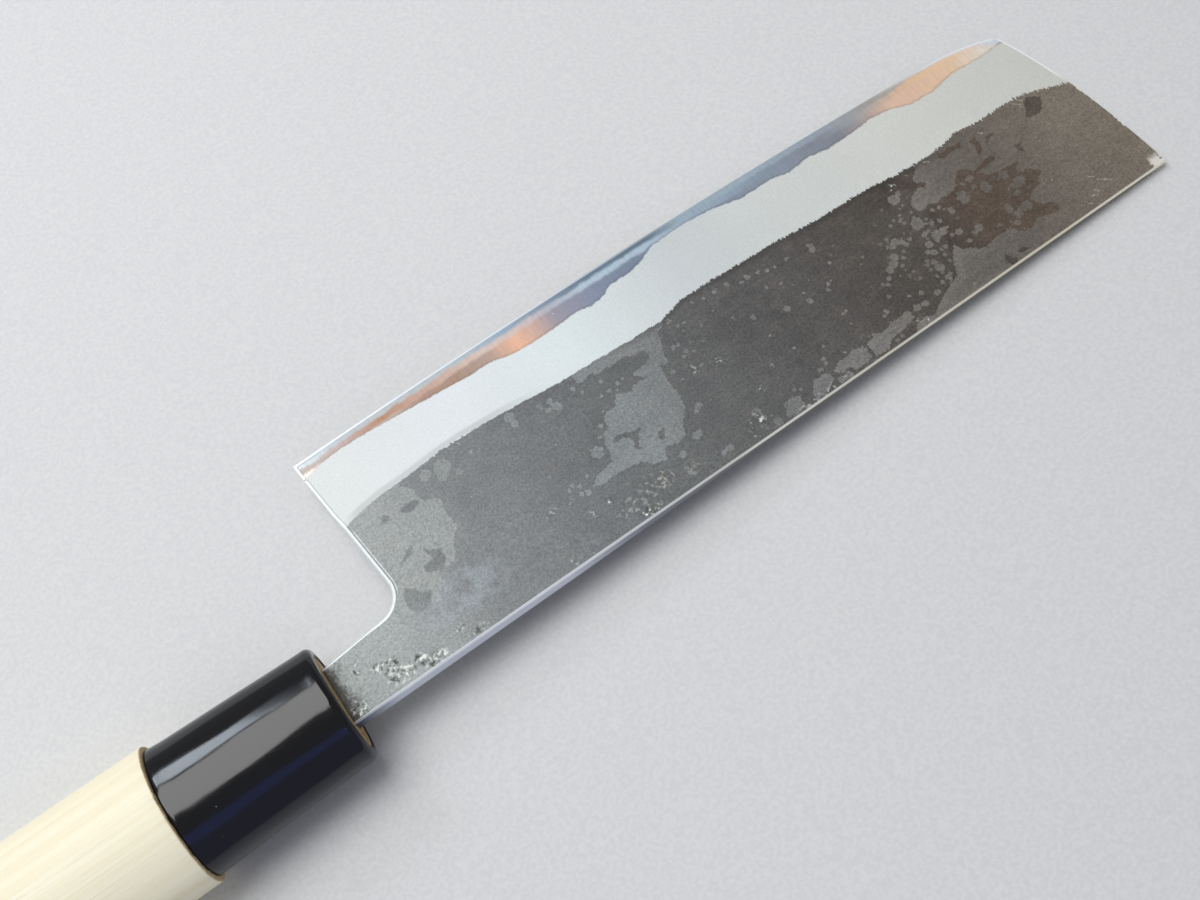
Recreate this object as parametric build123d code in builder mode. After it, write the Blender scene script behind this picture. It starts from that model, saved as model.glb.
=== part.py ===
from build123d import *
import os
from math import atan2, cos, degrees, hypot, pi, sin, tanh

os.makedirs("parts", exist_ok=True)

# Blade outline. Along runs from the ferrule's mouth to the tip, across from the spine to the cutting edge.
blade_reach = 187.9
heel_setback = 15.0
front_rake = 5.7
heel_height = 49.8
edge_belly = 1.85
toe_height = 43.4
toe_sweep = 14.0
toe_rise = 2.2
toe_radius = 3.5
front_full_inset = 0.7
front_full_height = 27.0
neck_height = 12.0
choil_setback = 18.3
choil_height = 13.9
choil_radius = 5.0

edge_length = blade_reach - heel_setback - front_rake
sweep_start = heel_setback + edge_length - toe_sweep

# Blade thickness. It falls off along the blade, and from the spine towards the bevel.
spine_at_neck = 3.9
spine_at_tip = 1.8
taper_middle = 68.0
taper_spread = 25.0
cheek_share = 0.8
spine_chamfer = 0.3
choil_chamfer = 0.3

# Wide bevel, ground by hand, and the narrow one honed along the edge
bevel_width = 16.8
bevel_wander = 0.8
wander_pitch = 65.0
honed_width = 0.8
honed_shoulder = 0.3
edge_land = 0.08

# Tang
tang_length = 98.0
tang_end_top = 8.6
tang_end_bottom = 2.6
tang_end_thickness = 2.6
tang_end_radius = 2.0

# Ferrule. Its collar is the oval end that meets the wooden grip.
ferrule_length = 33.3
collar_width = 26.1
collar_thickness = 19.7
mouth_inset = 1.08
ferrule_wall = 2.3
lip_radius = 1.4
bore_chamfer = 0.5
oval_end_share = 0.8

# Handle
handle_length = 128.0
grip_proud = 0.95
grip_swell = 0.3
butt_radius = 1.6
shoulder_chamfer = 0.3
axis_height = 5.4
wood_recess = 0.2

# Clearances
glue_gap = 0.05
tang_gap = 0.15
slot_end_gap = 1.5
overrun = 5.0

# How deep the hard core shows on the bevel: share of the edge's length, share of the bevel's width
left_line_shares = [
    (0.012, 0.22), (0.030, 0.17), (0.054, 0.155), (0.090, 0.18), (0.138, 0.235), (0.191, 0.29),
    (0.225, 0.325), (0.251, 0.32), (0.281, 0.39), (0.305, 0.40), (0.335, 0.385), (0.371, 0.355),
    (0.389, 0.395), (0.409, 0.375), (0.421, 0.30), (0.448, 0.305), (0.470, 0.265), (0.490, 0.175),
    (0.538, 0.15), (0.580, 0.19), (0.616, 0.28), (0.658, 0.255), (0.682, 0.305), (0.712, 0.255),
    (0.739, 0.295), (0.772, 0.275), (0.808, 0.24), (0.833, 0.275), (0.856, 0.355), (0.888, 0.375),
    (0.922, 0.30), (0.957, 0.277), (0.980, 0.215), (1.000, 0.13),
]
right_line_shares = [
    (0.020, 0.30), (0.075, 0.24), (0.130, 0.29), (0.180, 0.20), (0.245, 0.16), (0.310, 0.24),
    (0.360, 0.33), (0.430, 0.36), (0.490, 0.30), (0.550, 0.37), (0.610, 0.28), (0.680, 0.19),
    (0.745, 0.23), (0.800, 0.33), (0.860, 0.29), (0.920, 0.22), (0.970, 0.20), (1.000, 0.13),
]

# The knife lies on its right face: the grip's shoulder and the tip of the blade touch the table.
butt_width = collar_width + 2 * (grip_proud + grip_swell)
butt_thickness = collar_thickness + 2 * (grip_proud + grip_swell)
shoulder_drop = collar_thickness / 2 + grip_proud - spine_at_tip / 2
rest_tilt = atan2(shoulder_drop, blade_reach + ferrule_length + shoulder_chamfer)
rest_height = blade_reach * sin(rest_tilt) + spine_at_tip / 2 * cos(rest_tilt)
edge_drop = heel_height - toe_height - toe_rise
edge_peak = heel_height + (4 * edge_belly - edge_drop) ** 2 / (16 * edge_belly)
butt_reach = handle_length * cos(rest_tilt) + (butt_thickness / 2 - butt_radius) * sin(rest_tilt)
tip_reach = blade_reach * cos(rest_tilt) + spine_at_tip / 2 * sin(rest_tilt)
middle_along = (tip_reach - butt_reach) / 2
middle_across = (edge_peak + axis_height - butt_width / 2) / 2
knife = Plane(
    origin=(-middle_along, -middle_across, rest_height),
    x_dir=(cos(rest_tilt), 0, -sin(rest_tilt)),
    z_dir=(sin(rest_tilt), 0, cos(rest_tilt)),
)


def cross_plane(along, across=0.0):
    """Plane square to the knife's length: its axes run across the knife and up."""
    return Plane(origin=knife.from_local_coords((along, across, 0)), x_dir=knife.y_dir, z_dir=knife.x_dir)


def edge_at(along):
    """Height of the cutting edge above the spine: a flat parabola that sweeps up to the toe."""
    share = (along - heel_setback) / edge_length
    sweep_share = max(along - sweep_start, 0) / toe_sweep
    belly_height = heel_height - edge_drop * share + 4 * edge_belly * share * (1 - share)
    return belly_height - toe_rise * sweep_share**2


def bevel_at(along):
    """Width of the bevel, which wanders as the blade was held freehand to the wheel."""
    return bevel_width + bevel_wander * cos(2 * pi * (along - heel_setback) / wander_pitch)


def spine_at(along):
    """Thickness at the spine: a steep fall near the middle of the blade, and a taper in the tang."""
    if along < 0:
        return spine_at_neck - (spine_at_neck - tang_end_thickness) * -along / tang_length
    fall_share = (1 - tanh((along - taper_middle) / taper_spread)) / 2
    return spine_at_tip + (spine_at_neck - spine_at_tip) * fall_share


def core_half_thickness(along, depth):
    """Half thickness of the bevelled blade at a depth above the edge, where the core comes to light."""
    top = spine_at(along) / 2 * cheek_share
    rise_share = (depth - honed_width) / (bevel_at(along) - honed_width)
    return honed_shoulder / 2 + (top - honed_shoulder / 2) * rise_share


def core_profile(line_shares, side):
    """Points of one face of the core layer, seen from the spine: along the knife, and up."""
    points = []
    for length_share, depth_share in line_shares:
        along = heel_setback + edge_length * length_share
        half = core_half_thickness(along, depth_share * bevel_at(along))
        points.append((along, side * half))
    return points


def oval(width, thickness):
    """Four-arc oval: two broad side arcs that run smoothly into two end arcs."""
    half_width = width / 2
    half_thickness = thickness / 2
    end_radius = oval_end_share * half_thickness
    centre = half_width - end_radius
    side_radius = (centre**2 + half_thickness**2 - end_radius**2) / (2 * (half_thickness - end_radius))
    reach = hypot(centre, side_radius - half_thickness)
    join_across = centre + end_radius * centre / reach
    join_up = end_radius * (side_radius - half_thickness) / reach
    with BuildLine() as arcs:
        ThreePointArc((-join_across, join_up), (0, half_thickness), (join_across, join_up))
        ThreePointArc((join_across, join_up), (half_width, 0), (join_across, -join_up))
        ThreePointArc((join_across, -join_up), (0, -half_thickness), (-join_across, -join_up))
        ThreePointArc((-join_across, -join_up), (-half_width, 0), (-join_across, join_up))
    make_face(arcs.edges())


# Forged blank: the blade's wedge section, lofted from the tang to past the tip
section_count = 18
first_section = -tang_length - overrun
section_step = (blade_reach + overrun - first_section) / (section_count - 1)
past_share = 0.2
honed_past = edge_land - (honed_shoulder - edge_land) * past_share

with BuildPart() as wedge:
    for number in range(section_count):
        along = first_section + number * section_step
        spine_half = spine_at(along) / 2
        edge = edge_at(along)
        side = [
            (0, spine_half - spine_chamfer),
            (spine_chamfer, spine_half),
            (edge - bevel_at(along), spine_half * cheek_share),
            (edge - honed_width, honed_shoulder / 2),
            (edge + honed_width * past_share, honed_past / 2),
        ]
        with BuildSketch(cross_plane(along)):
            with BuildLine():
                Polyline(*side, *[(across, -up) for across, up in reversed(side)], close=True)
            make_face()
    loft()

# Filed bevel along the neck, the choil and the heel: a flared cutter that stands along the cheek's slope
heel = (heel_setback, heel_height)
choil = (choil_setback, choil_height)
cutter_depth = 4 * choil_chamfer
cheek_slope = spine_at_neck / 2 * (1 - cheek_share) / (heel_height - bevel_width)
cutter_plane = Plane(
    origin=knife.from_local_coords((0, 0, spine_at_neck / 2 - cutter_depth)),
    x_dir=knife.x_dir,
    z_dir=knife.z_dir + knife.y_dir * cheek_slope,
)

with BuildPart() as throat_bevel:
    with BuildSketch(cutter_plane) as throat:
        with BuildLine():
            Polyline((-overrun, neck_height), (0, neck_height), choil, heel, (-overrun, heel_height), close=True)
        make_face()
        fillet(throat.vertices().sort_by_distance(choil)[0], choil_radius)
        offset(amount=choil_chamfer - cutter_depth, kind=Kind.INTERSECTION)
    extrude(amount=cutter_depth + choil_chamfer, taper=-45)

# Side view of the blade and tang, cut out of the blank
with BuildPart() as forging:
    add(wedge.part)
    with BuildSketch(knife.offset(-spine_at_neck)) as outline:
        half_run = (sweep_start - heel_setback) / 2
        belly = (heel_setback + half_run, heel_height + (4 * edge_belly - edge_drop) * half_run / edge_length)
        sweep = (sweep_start, edge_at(sweep_start))
        toe = (heel_setback + edge_length, toe_height)
        front_full = (blade_reach - front_full_inset, front_full_height)
        tip = (blade_reach, 0)
        with BuildLine():
            Bezier(heel, belly, sweep)
            TangentArc(sweep, toe, tangent=Vector(*sweep) - Vector(*belly))
            Bezier(toe, front_full, tip)
            Polyline(tip, (blade_reach, -overrun), (0, -overrun), (0, 0), (-tang_length, tang_end_bottom),
                     (-tang_length, tang_end_top), (0, neck_height), choil, heel)
        make_face()
        fillet(outline.vertices().sort_by_distance(toe)[0], toe_radius)
        fillet(outline.vertices().sort_by_distance(choil)[0], choil_radius)
        fillet(outline.vertices().sort_by(Axis.X)[:2], tang_end_radius)
    extrude(amount=2 * spine_at_neck, mode=Mode.INTERSECT)
    add(throat_bevel.part, mode=Mode.SUBTRACT)
    add(mirror(throat_bevel.part, about=knife, mode=Mode.PRIVATE), mode=Mode.SUBTRACT)

# Band of hard steel through the forging: its two faces wave as the welded layers were hammered out
with BuildPart() as core_band:
    with BuildSketch(Plane(origin=knife.origin, x_dir=knife.x_dir, z_dir=-knife.y_dir)):
        left_face = core_profile(left_line_shares, 1)
        right_face = core_profile(right_line_shares, -1)
        tang_side = -tang_length - overrun
        tip_side = blade_reach + overrun
        level = [(1, 0), (1, 0)]
        with BuildLine():
            Line((tang_side, left_face[0][1]), left_face[0])
            Spline(*left_face, tangents=level)
            Line(left_face[-1], (tip_side, left_face[-1][1]))
            Line((tip_side, left_face[-1][1]), (tip_side, right_face[-1][1]))
            Line(right_face[-1], (tip_side, right_face[-1][1]))
            Spline(*right_face, tangents=level)
            Line((tang_side, right_face[0][1]), right_face[0])
            Line((tang_side, right_face[0][1]), (tang_side, left_face[0][1]))
        make_face()
    extrude(amount=heel_height + overrun, both=True)

with BuildPart() as core_steel:
    add(forging.part)
    add(core_band.part, mode=Mode.INTERSECT)

with BuildPart() as left_cladding:
    add(forging.part)
    add(core_band.part, mode=Mode.SUBTRACT)
    split(bisect_by=knife, keep=Keep.TOP)

with BuildPart() as right_cladding:
    add(forging.part)
    add(core_band.part, mode=Mode.SUBTRACT)
    split(bisect_by=knife, keep=Keep.BOTTOM)

# Moulded ferrule: a tapered oval sleeve with a rounded lip and a straight bore
ferrule_taper = degrees(atan2(mouth_inset, ferrule_length))

with BuildPart() as ferrule:
    with BuildSketch(cross_plane(-ferrule_length, axis_height)):
        oval(collar_width, collar_thickness)
    extrude(amount=ferrule_length, taper=ferrule_taper)
    mouth_face = ferrule.faces().sort_by(Axis(knife.origin, knife.x_dir))[-1]
    fillet(mouth_face.edges(), lip_radius)
    bore_width = collar_width - 2 * (mouth_inset + ferrule_wall)
    bore_thickness = collar_thickness - 2 * (mouth_inset + ferrule_wall)
    with BuildSketch(cross_plane(-ferrule_length, axis_height)):
        oval(bore_width, bore_thickness)
    extrude(amount=ferrule_length, mode=Mode.SUBTRACT)
    mouth_face = ferrule.faces().sort_by(Axis(knife.origin, knife.x_dir))[-1]
    chamfer(mouth_face.inner_wires()[0].edges(), bore_chamfer)

# Wooden handle: an oval grip that swells to the butt, with a tenon for the ferrule and a slot for the tang
grip_length = handle_length - ferrule_length
grip_taper = degrees(atan2(grip_swell, grip_length))

with BuildPart() as handle:
    with BuildSketch(cross_plane(-handle_length, axis_height)):
        oval(butt_width, butt_thickness)
    extrude(amount=grip_length, taper=grip_taper)
    end_faces = handle.faces().sort_by(Axis(knife.origin, knife.x_dir))
    fillet(end_faces[0].edges(), butt_radius)
    shoulder_face = handle.faces().sort_by(Axis(knife.origin, knife.x_dir))[-1]
    chamfer(shoulder_face.edges(), shoulder_chamfer)
    with BuildSketch(cross_plane(-ferrule_length, axis_height)):
        oval(bore_width - 2 * glue_gap, bore_thickness - 2 * glue_gap)
    extrude(amount=ferrule_length - wood_recess)
    slot_depth = tang_length + slot_end_gap
    slot_end_height = tang_end_top - tang_end_bottom + 2 * tang_gap
    with BuildSketch(cross_plane(-slot_depth, (tang_end_top + tang_end_bottom) / 2)):
        Rectangle(slot_end_height, tang_end_thickness + 2 * tang_gap)
    with BuildSketch(cross_plane(0, neck_height / 2)):
        Rectangle(neck_height + 2 * tang_gap, spine_at_neck + 2 * tang_gap)
    loft(ruled=True, mode=Mode.SUBTRACT)

pieces = {
    "core_steel": core_steel,
    "left_cladding": left_cladding,
    "right_cladding": right_cladding,
    "ferrule": ferrule,
    "handle": handle,
}
for name, piece in pieces.items():
    piece.part.label = name
    export_step(piece.part, f"parts/{name}.step")
print("rest tilt in degrees", round(degrees(rest_tilt), 3))
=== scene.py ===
from math import atan2, cos, hypot, pi, radians, sin

import bpy
import numpy as np
from mathutils import Matrix, Vector, kdtree, noise


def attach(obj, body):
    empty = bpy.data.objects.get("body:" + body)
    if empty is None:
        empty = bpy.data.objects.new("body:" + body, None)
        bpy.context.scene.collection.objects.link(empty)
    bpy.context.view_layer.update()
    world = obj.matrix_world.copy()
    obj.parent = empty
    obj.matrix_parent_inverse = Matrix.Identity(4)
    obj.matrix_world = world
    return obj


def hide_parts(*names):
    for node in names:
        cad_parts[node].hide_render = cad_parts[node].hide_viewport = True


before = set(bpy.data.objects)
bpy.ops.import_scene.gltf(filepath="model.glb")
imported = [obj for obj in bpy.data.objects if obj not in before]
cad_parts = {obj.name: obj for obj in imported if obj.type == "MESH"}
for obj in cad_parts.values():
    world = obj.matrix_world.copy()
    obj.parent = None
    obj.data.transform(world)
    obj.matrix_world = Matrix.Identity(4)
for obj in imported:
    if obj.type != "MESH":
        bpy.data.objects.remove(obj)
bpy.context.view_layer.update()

# The blade's core: one layer of hard carbon steel, forge-welded between two layers of soft iron.
# It runs from the tang to the tip, and shows where both sides are ground down to it along the edge.
# The stone has left it bright, with fine lines across the edge and stains along the wavy weld; the orange
# and steel blue along it are painted reflection.
MM = 0.001

# Outline of the blade in millimetres: along from the ferrule's mouth, across from the spine
REACH = 187.9
HEEL_SETBACK = 15.0
EDGE_LENGTH = 167.2
HEEL_HEIGHT = 49.8
TOE_HEIGHT = 43.4
TOE_SWEEP = 14.0
TOE_RISE = 2.2
FRONT_FULL = (187.2, 27.0)
EDGE_BELLY = 1.85

# Thickness of the blade at the spine, on the ground bevel and along the honed edge
SPINE_AT_NECK = 3.9
SPINE_AT_TIP = 1.8
TAPER_MIDDLE = 68.0
TAPER_SPREAD = 25.0
TANG_TAPER = 1.3 / 98.0
SPINE_CHAMFER = 0.3
CHEEK_SHARE = 0.8
BEVEL_WIDTH = 16.8
BEVEL_WANDER = 0.8
WANDER_PITCH = 65.0
HONED_WIDTH = 0.8
HONED_SHOULDER = 0.3
EDGE_LAND = 0.08

# How the knife lies: its spine's tip and the grip's shoulder touch the table, which tilts it a little
SHOULDER_DROP = 9.9
REST_SPAN = 221.5
TILT = atan2(SHOULDER_DROP, REST_SPAN)
KNIFE_ORIGIN = Vector((-29.72813, -20.62297, 9.28897))
KNIFE = Matrix(((cos(TILT), 0, sin(TILT)), (0, 1, 0), (-sin(TILT), 0, cos(TILT))))

# The net that the skin is cut into, and how a face is known to be skin
SKIN_START = -1.5
CELL = 1.4
ROW_SHIFT = -0.1
CELL_CUTS = 3
WELD_REACH = 1e-6
FLAT_ANGLE = radians(12)
LAYER_CREASE = radians(24)
FACING = 0.9
BEVEL_LEAN = 0.015
SKIN_SLACK = 0.15
NOTE_REACH = 6.0
SKIN, INNER, ENDS = range(3)
RAMP_LENGTH = 190.0

# How deep the hard core shows on the bevel: share of the edge's length, share of the bevel's width
LEFT_LINE = [
    (0.012, 0.22), (0.030, 0.17), (0.054, 0.155), (0.090, 0.18), (0.138, 0.235), (0.191, 0.29),
    (0.225, 0.325), (0.251, 0.32), (0.281, 0.39), (0.305, 0.40), (0.335, 0.385), (0.371, 0.355),
    (0.389, 0.395), (0.409, 0.375), (0.421, 0.30), (0.448, 0.305), (0.470, 0.265), (0.490, 0.175),
    (0.538, 0.15), (0.580, 0.19), (0.616, 0.28), (0.658, 0.255), (0.682, 0.305), (0.712, 0.255),
    (0.739, 0.295), (0.772, 0.275), (0.808, 0.24), (0.833, 0.275), (0.856, 0.355), (0.888, 0.375),
    (0.922, 0.30), (0.957, 0.277), (0.980, 0.215), (1.000, 0.13),
]
RIGHT_LINE = [
    (0.020, 0.30), (0.075, 0.24), (0.130, 0.29), (0.180, 0.20), (0.245, 0.16), (0.310, 0.24),
    (0.360, 0.33), (0.430, 0.36), (0.490, 0.30), (0.550, 0.37), (0.610, 0.28), (0.680, 0.19),
    (0.745, 0.23), (0.800, 0.33), (0.860, 0.29), (0.920, 0.22), (0.970, 0.20), (1.000, 0.13),
]
# Where the black scale ends and the ground bevel begins, along the knife and down from the spine
SCALE_END = [
    (0.0, 20.0), (14.0, 30.5), (17.1, 32.4), (18.3, 32.9), (21.7, 33.6), (25.7, 34.1), (31.2, 34.2),
    (38.7, 34.7), (44.2, 34.8), (53.2, 34.2), (66.0, 32.9), (73.0, 32.6), (82.1, 32.1), (88.7, 31.9),
    (94.7, 33.3), (99.5, 33.2), (106.5, 32.9), (117.3, 32.3), (125.7, 31.3), (132.4, 31.0),
    (136.4, 31.0), (144.3, 29.8), (149.7, 29.4), (153.7, 29.2), (160.4, 30.2), (165.6, 29.4),
    (171.7, 29.5), (177.1, 28.9), (181.6, 27.1), (185.3, 25.7), (190.0, 23.5),
]


def to_knife(points):
    """World metres to the knife's own millimetres: along the knife, across from the spine, and up."""
    return (points / MM - np.array(KNIFE_ORIGIN)) @ np.array(KNIFE)


def to_world(points):
    """The knife's own millimetres to world metres."""
    return (points @ np.array(KNIFE).T + np.array(KNIFE_ORIGIN)) * MM


def edge_at(along):
    """Height of the cutting edge above the spine: a flat parabola that sweeps up to the toe."""
    share = (along - HEEL_SETBACK) / EDGE_LENGTH
    swept = np.maximum(along - HEEL_SETBACK - EDGE_LENGTH + TOE_SWEEP, 0) / TOE_SWEEP
    drop = (HEEL_HEIGHT - TOE_HEIGHT - TOE_RISE) * share + TOE_RISE * swept**2
    return HEEL_HEIGHT - drop + 4 * EDGE_BELLY * share * (1 - share)


def front_at(across):
    """Where the blade ends at the front, at a height above the spine."""
    share = np.linspace(0, 1, 21)
    toe, tip = (HEEL_SETBACK + EDGE_LENGTH, TOE_HEIGHT), (REACH, 0.0)
    bow_along, bow_across = (
        (1 - share) ** 2 * first + 2 * share * (1 - share) * full + share**2 * last
        for first, full, last in zip(toe, FRONT_FULL, tip)
    )
    return np.interp(across, bow_across[::-1], bow_along[::-1])


def bevel_at(along):
    """Width of the ground bevel, which wanders as the blade was held freehand to the wheel."""
    return BEVEL_WIDTH + BEVEL_WANDER * np.cos(2 * pi * (along - HEEL_SETBACK) / WANDER_PITCH)


def half_thickness(along, across):
    """Half the blade's thickness: cheek, ground bevel and honed edge, one after the other."""
    fall = (1 - np.tanh((along - TAPER_MIDDLE) / TAPER_SPREAD)) / 2
    spine = (SPINE_AT_TIP + (SPINE_AT_NECK - SPINE_AT_TIP) * fall) / 2
    spine = np.where(along < 0, (SPINE_AT_NECK + TANG_TAPER * along) / 2, spine)
    edge = edge_at(along)
    cheek_end = edge - bevel_at(along)
    honed = edge - HONED_WIDTH
    cheek = spine * (1 - (1 - CHEEK_SHARE) * (across - SPINE_CHAMFER) / (cheek_end - SPINE_CHAMFER))
    share = (across - cheek_end) / (honed - cheek_end)
    ground = spine * CHEEK_SHARE + (HONED_SHOULDER / 2 - spine * CHEEK_SHARE) * share
    share = (across - honed) / HONED_WIDTH
    keen = HONED_SHOULDER / 2 + (EDGE_LAND - HONED_SHOULDER) / 2 * share
    return np.where(across < cheek_end, cheek, np.where(across < honed, ground, keen))


def line_depth(along, line):
    """How far above the edge the hard core reaches, in millimetres."""
    shares = np.array(line)
    depth_share = np.interp((along - HEEL_SETBACK) / EDGE_LENGTH, shares[:, 0], shares[:, 1])
    return depth_share * bevel_at(along)


def line_gap(x0, y0, x1, y1, along, across):
    """How far each point lies from the straight line between two ends, in millimetres."""
    run_x, run_y = x1 - x0, y1 - y0
    share = ((along - x0) * run_x + (across - y0) * run_y) / (run_x**2 + run_y**2)
    share = np.clip(share, 0, 1)
    return np.hypot(along - x0 - share * run_x, across - y0 - share * run_y)


def within(outline, along, across):
    """How far inside a closed outline each point lies, in millimetres; outside it is negative."""
    corners = np.array(outline, float)
    nearest = np.full(along.shape, np.inf)
    inside = np.zeros(along.shape, bool)
    for (x0, y0), (x1, y1) in zip(corners, np.roll(corners, -1, axis=0)):
        nearest = np.minimum(nearest, line_gap(x0, y0, x1, y1, along, across))
        if y0 != y1:
            crossed = (y0 > across) != (y1 > across)
            inside ^= crossed & (along < x0 + (across - y0) * (x1 - x0) / (y1 - y0))
    return np.where(inside, nearest, -nearest)


def within_any(outlines, along, across):
    """The same for several outlines at once."""
    return np.max([within(outline, along, across) for outline in outlines], axis=0)


def round_spots(spots, along, across):
    """The same for a scatter of round spots, their places listed under each radius."""
    best = np.full(along.shape, -np.inf)
    for radius, places in spots.items():
        for x, y in places:
            best = np.maximum(best, radius - np.hypot(along - x, across - y))
    return best


def strokes(lines, along, across):
    """The same for thin scratches, each its two ends."""
    return np.max([-line_gap(*ends, along, across) for ends in lines], axis=0)


def rough_spots(spots, along, across):
    """How rough the skin is, from 0 to 1: each spot its place, half length, half width and strength."""
    rough = np.zeros(along.shape)
    for x, y, length, width, strength in spots:
        reach = 1 - np.hypot((along - x) / length, (across - y) / width)
        rough = np.maximum(rough, strength * np.clip(reach * 2, 0, 1))
    return rough


def ripple(along, across, pitch, seed):
    """Smooth random height from -1 to 1 at each point, with bumps about a pitch wide."""
    spots = zip(along / pitch, across / pitch)
    return np.array([noise.noise(Vector((x, y, seed))) for x, y in spots])


def alone(piece):
    """Makes one piece the only one that is selected, and the active one."""
    bpy.ops.object.select_all(action="DESELECT")
    piece.select_set(True)
    bpy.context.view_layer.objects.active = piece


def forged_layer(node, name, side=1):
    """A layer of the blade, with the faces that lie open cut into a fine net, ready for the relief."""
    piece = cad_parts[node].copy()
    piece.data = piece.data.copy()
    for key in list(piece.keys()):
        del piece[key]
    piece.parent = None
    piece.name = piece.data.name = name
    bpy.context.scene.collection.objects.link(piece)
    piece.data.materials.clear()
    for _ in (SKIN, INNER, ENDS):
        piece.data.materials.append(None)

    # The CAD's triangles: welded, cut at the ferrule's mouth, and sorted into skin and the rest
    alone(piece)
    bpy.ops.mesh.customdata_custom_splitnormals_clear()
    bpy.ops.object.mode_set(mode="EDIT")
    bpy.ops.mesh.select_all(action="SELECT")
    bpy.ops.mesh.remove_doubles(threshold=WELD_REACH)
    bpy.ops.mesh.bisect(plane_co=to_world(np.array((SKIN_START, 0.0, 0.0))), plane_no=KNIFE.col[0])
    bpy.ops.object.mode_set(mode="OBJECT")
    mesh = piece.data
    spots = to_knife(np.array([v.co for v in mesh.vertices]))
    gap = half_thickness(spots[:, 0], spots[:, 1]) - abs(spots[:, 2])
    for face in mesh.polygons:
        corners = list(face.vertices)
        facing = face.normal @ KNIFE
        outwards = facing.z * side > FACING if side else abs(facing.z) > FACING and facing.y > BEVEL_LEAN
        beyond_neck = min(spots[corners, 0]) > SKIN_START - SKIN_SLACK
        on_skin = outwards and max(abs(gap[corners])) < SKIN_SLACK and beyond_neck
        face.material_index = SKIN if on_skin else INNER
        face.select = on_skin
        face.hide = not on_skin
        if facing.x > FACING or facing.y > FACING:
            face.material_index = ENDS

    # Only the skin is shown from here on, and cut into cells along and across the knife
    alone(piece)
    bpy.ops.object.mode_set(mode="EDIT")
    bpy.ops.mesh.select_mode(type="FACE")
    bpy.ops.mesh.dissolve_limited(angle_limit=FLAT_ANGLE, delimit={"MATERIAL"})
    for axis, length, shift in ((0, REACH, 0.0), (1, HEEL_HEIGHT, ROW_SHIFT)):
        for number in range(1, int(length / CELL) + 1):
            cut = np.zeros(3)
            cut[axis] = number * CELL + shift
            bpy.ops.mesh.select_all(action="SELECT")
            bpy.ops.mesh.bisect(plane_co=to_world(cut), plane_no=KNIFE.col[axis])
    bpy.ops.mesh.select_face_by_sides(number=4, type="GREATER", extend=False)
    bpy.ops.mesh.quads_convert_to_tris()
    bpy.ops.mesh.select_all(action="SELECT")
    bpy.ops.mesh.subdivide(number_cuts=CELL_CUTS)
    bpy.ops.mesh.reveal(select=False)
    bpy.ops.object.mode_set(mode="OBJECT")
    return piece


def lay_on_surface(piece, relief):
    """Moves the net's points onto the true surface and adds the relief of the skin to it."""
    mesh = piece.data
    skin = sorted({v for face in mesh.polygons if face.material_index == SKIN for v in face.vertices})
    world = np.array([v.co for v in mesh.vertices])
    spots = to_knife(world)
    along, across, up = spots[skin].T
    side = np.where(up < 0, -1.0, 1.0)
    height = half_thickness(along, across)
    spots[skin, 2] = side * (height + relief(along, across, side))
    mesh.vertices.foreach_set("co", to_world(spots).ravel())
    mesh.update()
    return spots


def note(piece, name, values):
    """Writes one number per point on the piece, for its material to read."""
    attribute = piece.data.attributes.new(name, "FLOAT", "POINT")
    attribute.data.foreach_set("value", np.asarray(values, np.float32))


def rim_distance(piece, spots, weld_gap):
    """How far each point lies from the rim of its skin, which is the spine, the throat and the front."""
    skin = {v for face in piece.data.polygons if face.material_index == SKIN for v in face.vertices}
    other = {v for face in piece.data.polygons if face.material_index != SKIN for v in face.vertices}
    rim = [v for v in skin & other if abs(weld_gap[v]) > 0.4]
    tree = kdtree.KDTree(len(rim))
    for vertex in rim:
        tree.insert(spots[vertex], vertex)
    tree.balance()
    return [tree.find(spot)[2] for spot in spots]


def measure_skin(piece, spots, patches):
    """Notes how far each point lies from the edge, the weld, the end of the scale and the patches in it."""
    along, across, up = spots.T
    depth = edge_at(along) - across
    left, right = line_depth(along, LEFT_LINE), line_depth(along, RIGHT_LINE)
    scale = np.array(SCALE_END)
    note(piece, "edge_depth", depth)
    weld_gap = depth - np.where(up > 0, left, right)
    note(piece, "weld_gap", weld_gap)
    note(piece, "rim_gap", rim_distance(piece, spots, weld_gap))
    note(piece, "scale_gap", np.interp(along, scale[:, 0], scale[:, 1]) - across)
    note(piece, "front_gap", front_at(across) - along)
    for name, values in patches(along, across).items():
        note(piece, name, np.clip(values, -NOTE_REACH, NOTE_REACH))


def joined(operation, swapped=False):
    """A method that joins a wire and another value by one Math node."""
    def method(self, other):
        pair = (other, self) if swapped else (self, other)
        return self.maths(operation, *pair)
    return method


class Wire:
    """One output of a material's node. Sums and products of wires add the Math nodes for them."""

    __add__ = joined("ADD")
    __radd__ = joined("ADD", swapped=True)
    __sub__ = joined("SUBTRACT")
    __rsub__ = joined("SUBTRACT", swapped=True)
    __mul__ = joined("MULTIPLY")
    __truediv__ = joined("DIVIDE")
    __pow__ = joined("POWER")
    most = joined("MAXIMUM")
    least = joined("MINIMUM")

    def __init__(self, finish, socket):
        self.finish = finish
        self.socket = socket

    def maths(self, operation, *values):
        return self.finish.node("Math", {"operation": operation}, *values)

    def __abs__(self):
        return self.maths("ABSOLUTE", self)

    def twin(self, output):
        """Another output of the same node."""
        return Wire(self.finish, self.socket.node.outputs[output])

    def rise(self, low, high):
        """Smooth step from 0 at low to 1 at high."""
        settings = {"interpolation_type": "SMOOTHSTEP"}
        return self.finish.node("MapRange", settings, self, low, high)


# Sockets of the Mix node that carry its factor and its colours
MIX_COLOUR_INPUTS = (0, 6, 7)
MIX_COLOUR_OUTPUT = 2


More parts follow.
